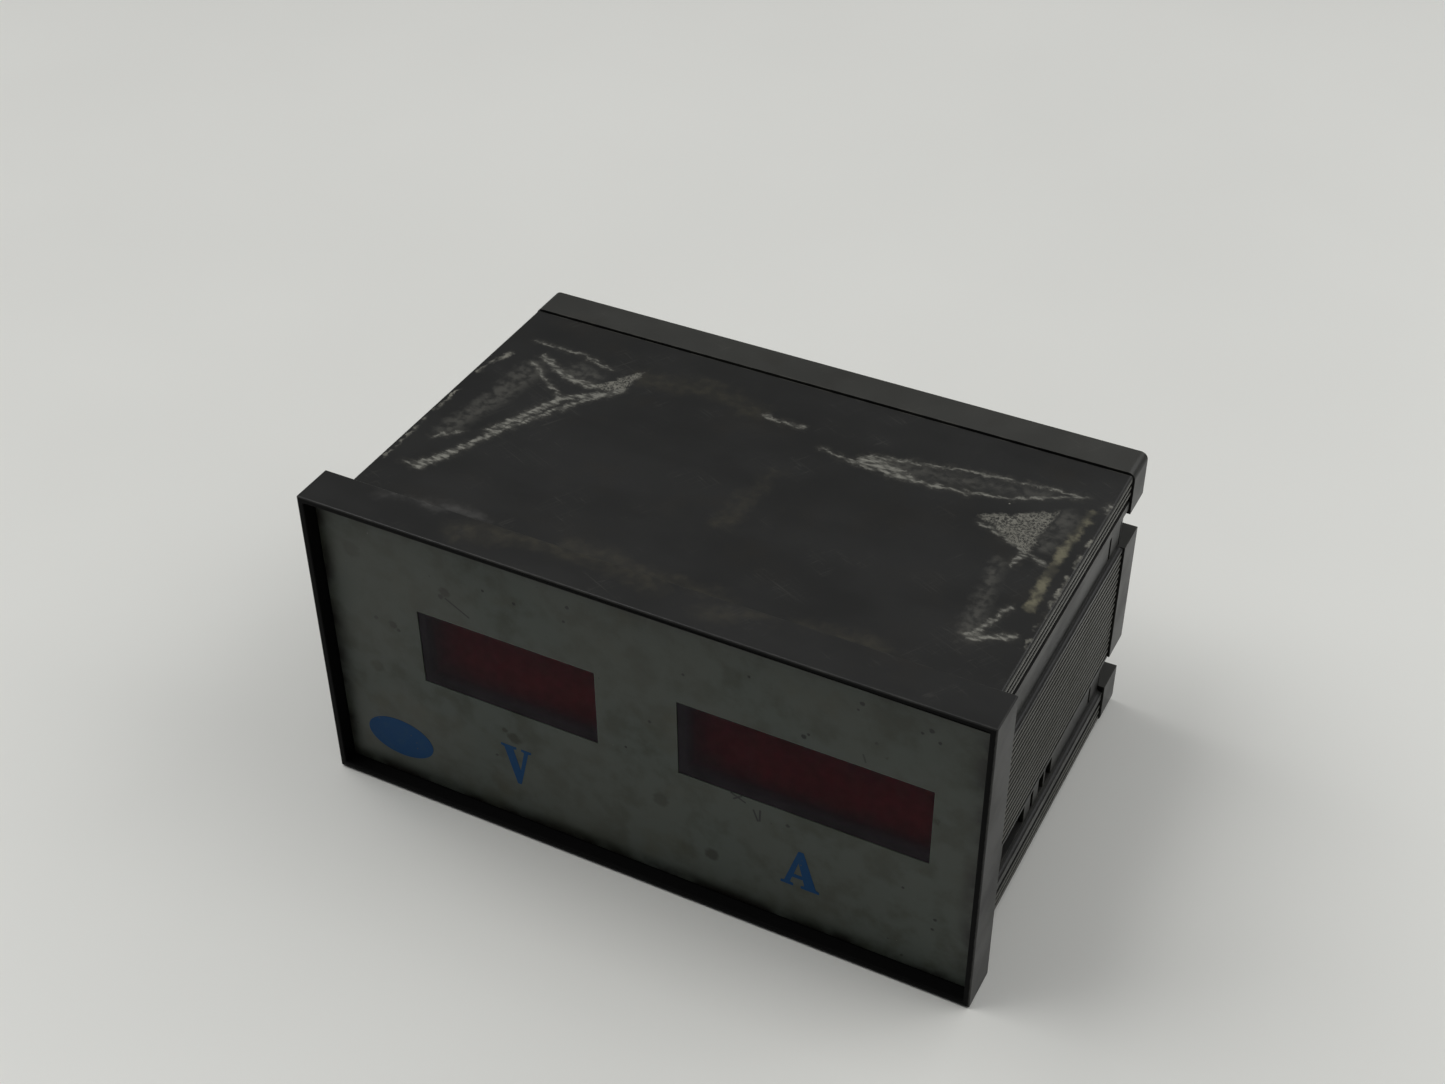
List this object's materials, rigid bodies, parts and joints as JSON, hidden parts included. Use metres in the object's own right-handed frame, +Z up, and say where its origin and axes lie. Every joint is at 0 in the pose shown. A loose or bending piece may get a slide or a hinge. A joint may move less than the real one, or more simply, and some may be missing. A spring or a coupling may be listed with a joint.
{
  "type": "digital panel meter",
  "caption": "Panel meter in a black instrument case: recessed grey front plate with two red windows, ribbed sides with clamp channels, rear frame and screw terminals.",
  "frame": {"origin": "middle of the base: under the middle of the meter's depth and width, at the underside of the front frame", "axes": "+X to the right seen from the front, +Y from the front to the rear, +Z up"},
  "size_m": [0.144, 0.091, 0.072],
  "materials": {
    "case_plastic": "moulded black plastic, semi-matt, scuffed",
    "plate_print": "grey-green printed sheet, matt",
    "red_filter": "transparent dark red acrylic",
    "mask_black": "black moulded plastic",
    "digit_face": "grey digit faces with pale segments",
    "board_laminate": "green glass fibre board",
    "chip_plastic": "black moulded resin",
    "core_steel": "stacked steel laminations, varnished",
    "bobbin_plastic": "off-white nylon",
    "winding": "copper winding under yellow tape",
    "can_sleeve": "blue shrink sleeve",
    "aluminium": "extruded, bare",
    "plated_steel": "zinc-plated steel",
    "brass": "bare brass and resistance alloy",
    "block_plastic": "dark moulded plastic",
    "trimmer_plastic": "blue moulded plastic"
  },
  "bodies": {
    "case": {"capacitor_left": "can_sleeve", "capacitor_right": "can_sleeve", "case_lower": "case_plastic", "case_upper": "case_plastic", "converter_chip_amps": "chip_plastic", "converter_chip_volts": "chip_plastic", "current_shunt": "brass", "digit_amps_1": "digit_face", "digit_amps_2": "digit_face", "digit_amps_3": "digit_face", "digit_amps_4": "digit_face", "digit_volts_1": "digit_face", "digit_volts_2": "digit_face", "digit_volts_3": "digit_face", "display_board": "board_laminate", "display_mask": "mask_black", "heatsink": "aluminium", "main_board": "board_laminate", "pin_header": "chip_plastic", "rear_frame": "case_plastic", "rear_plate": "case_plastic", "rear_screw_1": "plated_steel", "rear_screw_2": "plated_steel", "rear_screw_3": "plated_steel", "rear_screw_4": "plated_steel", "regulator": "chip_plastic", "regulator_screw": "plated_steel", "terminal_block_input": "block_plastic", "terminal_block_supply": "block_plastic", "transformer_bobbin": "bobbin_plastic", "transformer_core": "core_steel", "transformer_winding": "winding", "trimmer_body_1": "trimmer_plastic", "trimmer_body_2": "trimmer_plastic"},
    "front": {"bezel_frame": "case_plastic", "front_plate": "plate_print", "window_volts": "red_filter", "window_amps": "red_filter"},
    "clamp_1": {"clamp_plate_1": "plated_steel"},
    "screw_1": {"terminal_screw_1": "plated_steel"},
    "clamp_2": {"clamp_plate_2": "plated_steel"},
    "screw_2": {"terminal_screw_2": "plated_steel"},
    "clamp_3": {"clamp_plate_3": "plated_steel"},
    "screw_3": {"terminal_screw_3": "plated_steel"},
    "clamp_4": {"clamp_plate_4": "plated_steel"},
    "screw_4": {"terminal_screw_4": "plated_steel"},
    "clamp_5": {"clamp_plate_5": "plated_steel"},
    "screw_5": {"terminal_screw_5": "plated_steel"},
    "clamp_6": {"clamp_plate_6": "plated_steel"},
    "screw_6": {"terminal_screw_6": "plated_steel"},
    "clamp_7": {"clamp_plate_7": "plated_steel"},
    "screw_7": {"terminal_screw_7": "plated_steel"},
    "trimmer_1": {"trimmer_rotor_1": "brass"},
    "trimmer_2": {"trimmer_rotor_2": "brass"}
  },
  "joints": [
    {"name": "front_pull", "type": "slide", "parent": "case", "child": "front", "axis": [0, -1, 0], "range_m": [0, 0.0034]},
    {"name": "clamp_1_lift", "type": "slide", "parent": "case", "child": "clamp_1", "axis": [0, 1, 0], "range_m": [0, 0.001]},
    {"name": "screw_1_turn", "type": "hinge", "parent": "clamp_1", "child": "screw_1", "pos_m": [-0.047, 0.0425, 0.021], "axis": [0, 1, 0], "range_deg": [0, 720]},
    {"name": "clamp_2_lift", "type": "slide", "parent": "case", "child": "clamp_2", "axis": [0, 1, 0], "range_m": [0, 0.001]},
    {"name": "screw_2_turn", "type": "hinge", "parent": "clamp_2", "child": "screw_2", "pos_m": [-0.038, 0.0425, 0.021], "axis": [0, 1, 0], "range_deg": [0, 720]},
    {"name": "clamp_3_lift", "type": "slide", "parent": "case", "child": "clamp_3", "axis": [0, 1, 0], "range_m": [0, 0.001]},
    {"name": "screw_3_turn", "type": "hinge", "parent": "clamp_3", "child": "screw_3", "pos_m": [-0.029, 0.0425, 0.021], "axis": [0, 1, 0], "range_deg": [0, 720]},
    {"name": "clamp_4_lift", "type": "slide", "parent": "case", "child": "clamp_4", "axis": [0, 1, 0], "range_m": [0, 0.001]},
    {"name": "screw_4_turn", "type": "hinge", "parent": "clamp_4", "child": "screw_4", "pos_m": [0.012, 0.0425, 0.021], "axis": [0, 1, 0], "range_deg": [0, 720]},
    {"name": "clamp_5_lift", "type": "slide", "parent": "case", "child": "clamp_5", "axis": [0, 1, 0], "range_m": [0, 0.001]},
    {"name": "screw_5_turn", "type": "hinge", "parent": "clamp_5", "child": "screw_5", "pos_m": [0.021, 0.0425, 0.021], "axis": [0, 1, 0], "range_deg": [0, 720]},
    {"name": "clamp_6_lift", "type": "slide", "parent": "case", "child": "clamp_6", "axis": [0, 1, 0], "range_m": [0, 0.001]},
    {"name": "screw_6_turn", "type": "hinge", "parent": "clamp_6", "child": "screw_6", "pos_m": [0.03, 0.0425, 0.021], "axis": [0, 1, 0], "range_deg": [0, 720]},
    {"name": "clamp_7_lift", "type": "slide", "parent": "case", "child": "clamp_7", "axis": [0, 1, 0], "range_m": [0, 0.001]},
    {"name": "screw_7_turn", "type": "hinge", "parent": "clamp_7", "child": "screw_7", "pos_m": [0.039, 0.0425, 0.021], "axis": [0, 1, 0], "range_deg": [0, 720]},
    {"name": "trimmer_1_turn", "type": "hinge", "parent": "case", "child": "trimmer_1", "pos_m": [-0.004, 0.0315, 0.021], "axis": [0, 1, 0], "range_deg": [-135, 135]},
    {"name": "trimmer_2_turn", "type": "hinge", "parent": "case", "child": "trimmer_2", "pos_m": [-0.014, 0.0315, 0.021], "axis": [0, 1, 0], "range_deg": [-135, 135]}
  ],
  "couplings": [
    {"joint": "screw_1_turn", "follows": "clamp_1_lift", "rad_per_m": 12566},
    {"joint": "screw_2_turn", "follows": "clamp_2_lift", "rad_per_m": 12566},
    {"joint": "screw_3_turn", "follows": "clamp_3_lift", "rad_per_m": 12566},
    {"joint": "screw_4_turn", "follows": "clamp_4_lift", "rad_per_m": 12566},
    {"joint": "screw_5_turn", "follows": "clamp_5_lift", "rad_per_m": 12566},
    {"joint": "screw_6_turn", "follows": "clamp_6_lift", "rad_per_m": 12566},
    {"joint": "screw_7_turn", "follows": "clamp_7_lift", "rad_per_m": 12566}
  ]
}
